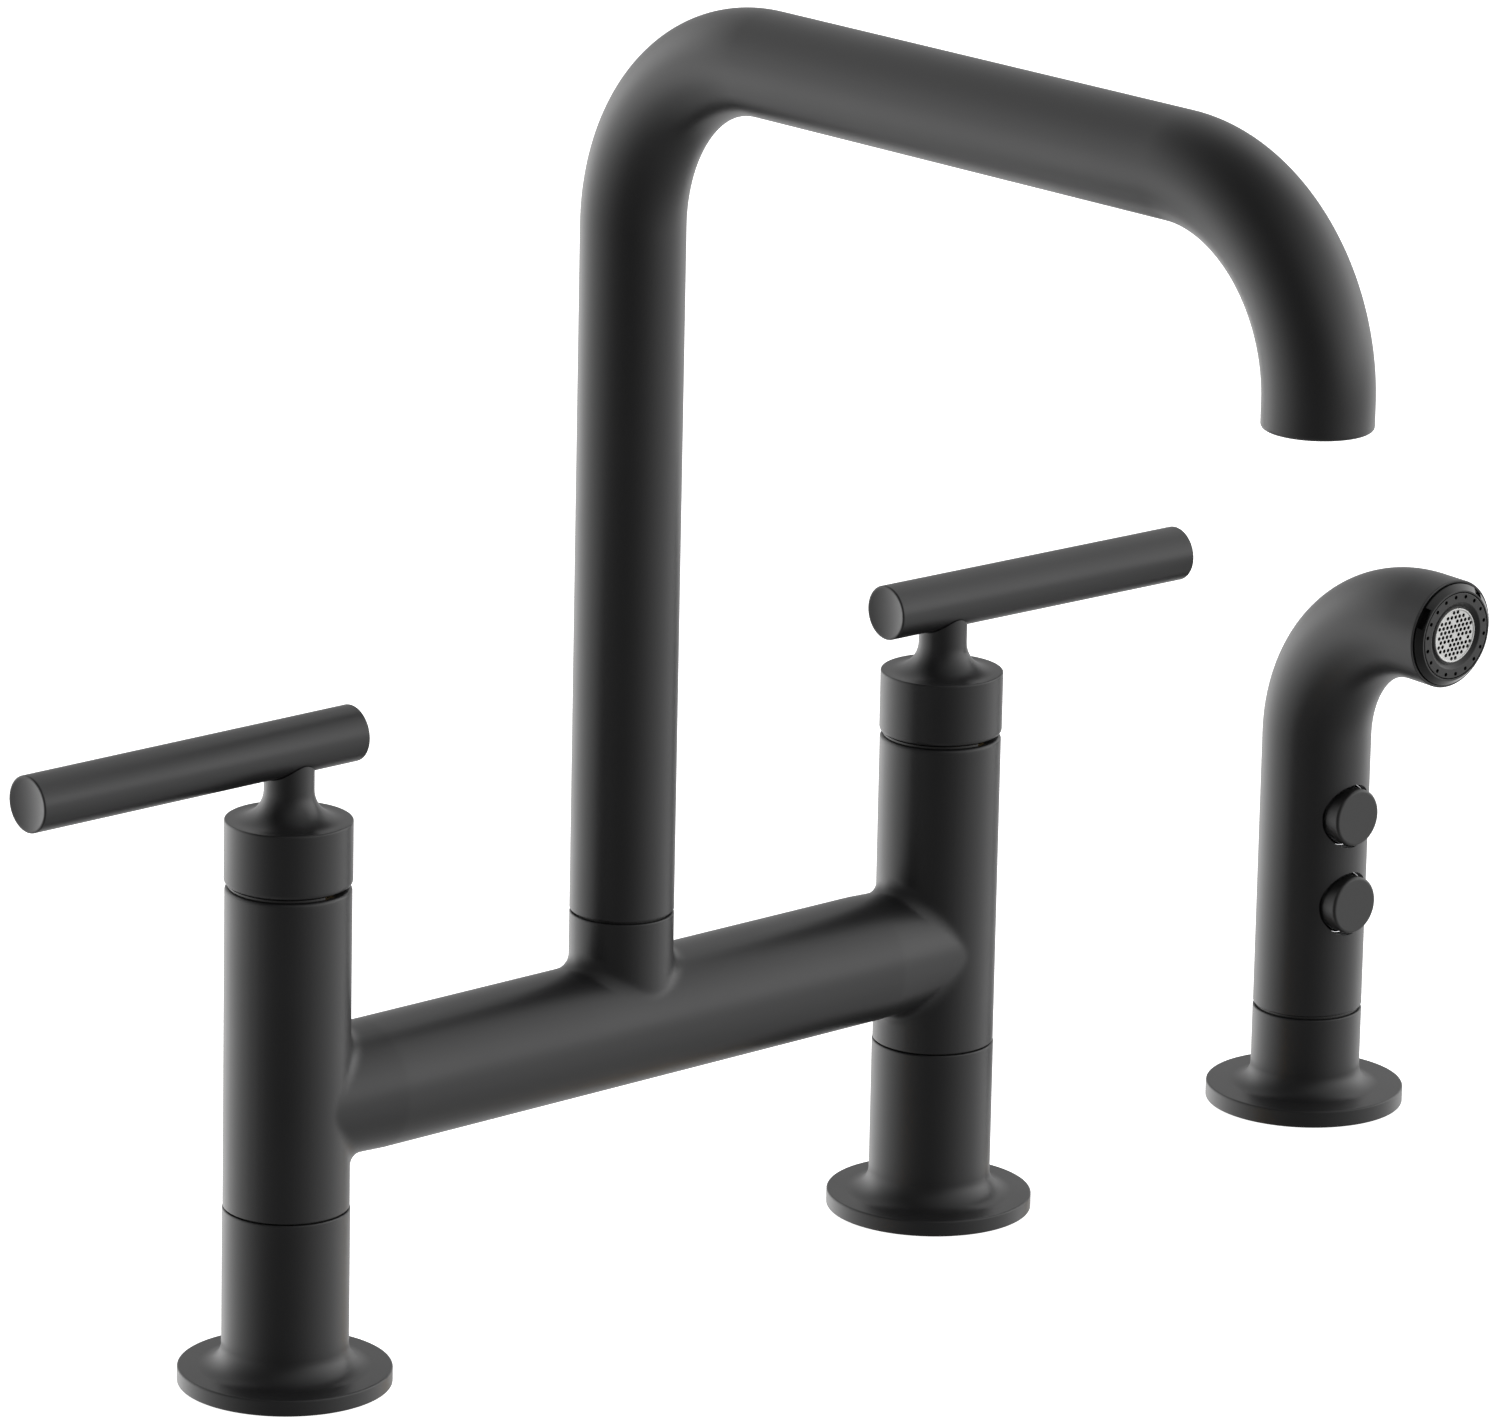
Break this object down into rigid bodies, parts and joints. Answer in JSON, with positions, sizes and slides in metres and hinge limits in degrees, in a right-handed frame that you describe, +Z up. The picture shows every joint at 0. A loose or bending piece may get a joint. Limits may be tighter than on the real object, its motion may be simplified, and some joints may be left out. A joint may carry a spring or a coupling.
{
  "type": "bridge kitchen faucet",
  "caption": "Deck-mounted bridge faucet: round posts joined by a tube, squared swivel spout, bar lever handles, and a separate side spray with push buttons in its own holder.",
  "frame": {"origin": "on the deck's top surface, midway between the axes of the hot and the cold post", "axes": "+X along the bridge towards the cold post and the side spray, -Y the way the spout points at rest (towards the user), +Z up"},
  "size_m": [0.435, 0.2667, 0.4183],
  "materials": {
    "matte_black": "matte",
    "brass": "machined",
    "stainless": "brushed",
    "chrome": "polished",
    "copper": "drawn",
    "black_rubber": "matte",
    "black_plastic": "satin",
    "white_plastic": "satin",
    "ceramic": "lapped"
  },
  "bodies": {
    "faucet_body": {"bridge_body": "matte_black", "hot_base": "matte_black", "cold_base": "matte_black", "hot_shank": "brass", "cold_shank": "brass", "deck_gaskets": "black_rubber", "shank_washers": "stainless", "shank_nuts": "brass", "spout_slip_ring": "black_plastic", "spout_lock_screw": "stainless", "diverter_sleeve": "brass", "diverter_spring": "stainless", "spray_feed_tube": "copper", "supply_tee": "brass", "spray_holder": "matte_black", "spray_guide": "black_plastic", "spray_gasket": "black_rubber", "spray_washer": "stainless", "spray_nut": "brass", "hot_seat_seal": "black_rubber", "hot_cartridge": "brass", "hot_fixed_disc": "ceramic", "hot_bonnet_nut": "brass", "hot_glide_ring": "black_plastic", "cold_seat_seal": "black_rubber", "cold_cartridge": "brass", "cold_fixed_disc": "ceramic", "cold_bonnet_nut": "brass", "cold_glide_ring": "black_plastic"},
    "hot_handle": {"hot_turning_disc": "ceramic", "hot_stem": "brass", "hot_hub": "matte_black", "hot_lever": "matte_black", "hot_set_screw": "stainless"},
    "cold_handle": {"cold_turning_disc": "ceramic", "cold_stem": "brass", "cold_hub": "matte_black", "cold_lever": "matte_black", "cold_set_screw": "stainless"},
    "spout": {"spout_tube": "matte_black", "spout_nipple": "brass", "spout_rings": "black_rubber", "aerator_housing": "stainless", "aerator_insert": "white_plastic", "aerator_screen": "stainless", "aerator_gasket": "black_rubber"},
    "diverter": {"diverter_spool": "white_plastic"},
    "hose_coupling": {"spray_hose_coupling": "black_plastic"},
    "spray_handset": {"spray_body": "matte_black", "spray_core": "black_plastic", "button_rings": "chrome", "upper_button_spring": "stainless", "lower_button_spring": "stainless", "face_collar": "black_plastic", "spray_face": "black_plastic", "spray_screen": "stainless", "face_seal": "black_rubber"},
    "upper_push": {"upper_button": "black_plastic"},
    "lower_push": {"lower_button": "black_plastic"}
  },
  "joints": [
    {"name": "hot_handle_turn", "type": "hinge", "parent": "faucet_body", "child": "hot_handle", "pos_m": [-0.1016, 0, 0.13], "axis": [0, 0, 1], "range_deg": [0, 90]},
    {"name": "cold_handle_turn", "type": "hinge", "parent": "faucet_body", "child": "cold_handle", "pos_m": [0.1016, 0, 0.13], "axis": [0, 0, 1], "range_deg": [-88.2, 1.8]},
    {"name": "spout_swivel", "type": "hinge", "parent": "faucet_body", "child": "spout", "pos_m": [0, 0, 0.0948], "axis": [0, 0, 1], "continuous": true},
    {"name": "diverter_shift", "type": "slide", "parent": "faucet_body", "child": "diverter", "axis": [0, 0, 1], "range_m": [0, 0.004], "stiffness_N_per_m": 40, "springref_m": -0.0005, "deforming": ["diverter_spring"]},
    {"name": "spray_lift", "type": "slide", "parent": "faucet_body", "child": "hose_coupling", "axis": [0, 0, 1], "range_m": [0, 0.08]},
    {"name": "spray_swivel", "type": "hinge", "parent": "hose_coupling", "child": "spray_handset", "pos_m": [0.233, 0.002, 0.03], "axis": [0, 0, 1], "continuous": true},
    {"name": "upper_button_press", "type": "slide", "parent": "spray_handset", "child": "upper_push", "axis": [0, 1, 0], "range_m": [0, 0.0018], "stiffness_N_per_m": 400, "springref_m": -0.0005, "deforming": ["upper_button_spring"]},
    {"name": "lower_button_press", "type": "slide", "parent": "spray_handset", "child": "lower_push", "axis": [0, 1, 0], "range_m": [0, 0.0018], "stiffness_N_per_m": 400, "springref_m": -0.0005, "deforming": ["lower_button_spring"]}
  ]
}
